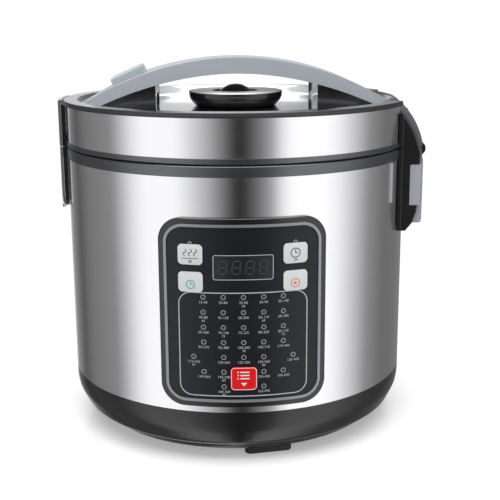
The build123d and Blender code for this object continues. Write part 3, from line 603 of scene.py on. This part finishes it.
# %% Inks
ink_light = plastic("light ink", (0.52, 0.53, 0.55), 0.45, bump=0.02)
ink_dim = plastic("unlit segments", (0.05, 0.05, 0.052), 0.4, bump=0.02)
ink_dark = plastic("dark ink", (0.03, 0.03, 0.035), 0.5, bump=0.02)
ink_teal = plastic("teal ink", (0.04, 0.50, 0.40), 0.45, bump=0.02)
ink_orange = plastic("orange ink", (0.85, 0.17, 0.03), 0.45, bump=0.02)
ink_white = plastic("white ink", (0.85, 0.85, 0.85), 0.45, bump=0.02)
lamp_dark = plastic("unlit lamp", (0.03, 0.03, 0.033), 0.25, bump=0.02)

# %% Marks on the panel
lamps_low, lamps_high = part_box("panel_lamps")
row_pitch = 11.1
first_row = lamps_high.z / mm - 1.4
near, far, side = 14.3, 28.4, 35.6
rows = [(-far, -near, 0, near, far)] * 4
rows += [(-side, -near, 0, near, side), (-far, -near, near, far), (-near, near)]
lamps = [(x, first_row - row * row_pitch) for row, columns in enumerate(rows) for x in columns]
light = [outline("frame line", 0, 94.4, 92.0, 77.6, 9.0, 0.75),
         outline("display line", 0, window_middle, 42.6, 18.0, 1.6, 0.5)]
for index, (x, z) in enumerate(lamps, start=1):
    light.append(ring("lamp ring", x, z, 1.75, 1.2))
    shortest = 10 + 5 * index
    longest = shortest * (2 + index % 3)
    light.append(digits(f"{shortest}-{longest}", x, z - 3.9, 2.7))
    if index % 3 == 0:
        light.append(digits(f"{60 + index}", x, z - 6.4, 2.5))
for x in (-37, 37):
    light.append(ring("key lamp", x, 168.2, 1.35, 0.85))
print_marks("panel_print", light, front_radius + 2.4 * lift, "base", ink_light, "white_plastic")

segments = []
for digit in range(4):
    x = (digit - 1.5) * 9.6
    slant = 0.10
    for level in (-4.6, 0, 4.6):
        shift = slant * level
        segments.append(bar("segment", (x - 2.0 + shift, window_middle + level),
                            (x + 2.0 + shift, window_middle + level), 1.0))
    for edge in (-2.8, 2.8):
        for low, high in ((-4.2, -0.4), (0.4, 4.2)):
            segments.append(bar("segment", (x + edge + slant * low, window_middle + low),
                                (x + edge + slant * high, window_middle + high), 1.0))
print_marks("display_segments", segments, front_radius + lift, "base", ink_dim, "smoked_window")

# %% Marks on the keys
key_front = 138.2 + lift
warm = [bar("divider", (-43, 157.4), (-31, 157.4), 0.4), bar("cross", (-38.1, 154.2), (-35.9, 156.2), 0.5),
        bar("cross", (-38.1, 156.2), (-35.9, 154.2), 0.5)]
for x in (-40.6, -37, -33.4):
    warm.append(ring("heat", x, 160.6, 1.35, 0.85, 90, 180))
    warm.append(ring("heat", x, 162.8, 1.35, 0.85, -90, 180))
print_marks("key_warm_print", warm, key_front, "key_warm_body", ink_dark, "black_gloss")
delay = [ring("clock", 37, 160.4, 3.6, 3.0), bar("hand", (37, 160.2), (37, 162.8), 0.5),
         bar("hand", (36.8, 160.4), (38.8, 160.4), 0.5), digits("24", 37, 155.4, 2.6)]
print_marks("key_delay_print", delay, key_front, "key_delay_body", ink_dark, "black_gloss")
time = [ring("clock", -37, 138.6, 3.3, 2.6), bar("hand", (-37, 138.4), (-37, 140.8), 0.6),
        bar("hand", (-37.2, 138.6), (-35.2, 138.6), 0.6)]
print_marks("key_time_print", time, key_front, "key_time_body", ink_teal, "white_plastic")
start = [ring("start", 37, 138.6, 3.3, 2.7),
         mark("play", [(36.1, 137.1), (38.6, 138.6), (36.1, 140.1)], [(0, 1, 2)])]
print_marks("key_start_print", start, key_front, "key_start_body", ink_orange, "white_plastic")
menu = [outline("menu rim", 0, 69.2, 18.4, 16.8, 2.6, 0.45)]
for z in (74.2, 71.8, 69.4):
    menu.append(bar("list", (-2.6, z), (4.0, z), 0.9))
    menu.append(ring("list dot", -4.2, z, 0.55, 0.02))
menu.append(mark("down", [(-2.2, 66.2), (0, 63.6), (2.2, 66.2)], [(0, 1, 2)]))
print_marks("key_menu_print", menu, key_front, "key_menu_body", ink_white, "white_plastic")

lens = solid_copy("panel_lamps")
smooth(lens, 30)
round_normals(lens)
finished(lens, "base", lamp_dark, "lamp_lens", "panel_lamps")

# %% [markdown]
# ## The table under the cooker
# A wide pale sheet catches a soft contact shadow and a faint reflection. It is hidden from the
# metal's mirror rays, so the steel shows only the upright bands of the room.

# %% Floor
deselect()
bpy.ops.mesh.primitive_plane_add(size=6, location=(0, 0, -0.0002))
floor = bpy.context.object
floor.name = "table"
floor_material, floor_shader = finish_base("table paper", 0.0)
floor_effect = floor_material.node_tree.nodes.new("ShaderNodeGroup")
floor_effect.node_tree = grain
vary(floor_material, floor_shader, floor_effect.outputs["Gloss patches"],
     (0.92, 0.92, 0.92), (0.93, 0.93, 0.93), 0.14, 0.16)
floor_shader.inputs["Specular IOR Level"].default_value = 0.3
floor_shader.inputs["Emission Color"].default_value = (1, 1, 1, 1)
floor_shader.inputs["Emission Strength"].default_value = 0.30
floor_nodes, floor_links = floor_material.node_tree.nodes, floor_material.node_tree.links
floor_place = floor_nodes.new("ShaderNodeTexCoord")
floor_distance = floor_nodes.new("ShaderNodeVectorMath")
floor_distance.operation = "LENGTH"
floor_fade = floor_nodes.new("ShaderNodeMapRange")
floor_fade.inputs["From Min"].default_value = 0.13
floor_fade.inputs["From Max"].default_value = 0.30
floor_fade.inputs["To Min"].default_value = 1.0
floor_fade.inputs["To Max"].default_value = 0.0
floor_links.new(floor_place.outputs["Object"], floor_distance.inputs[0])
floor_links.new(floor_distance.outputs["Value"], floor_fade.inputs["Value"])
floor_links.new(floor_fade.outputs["Result"], floor_shader.inputs["Alpha"])
floor.data.materials.append(floor_material)
floor.visible_glossy = False
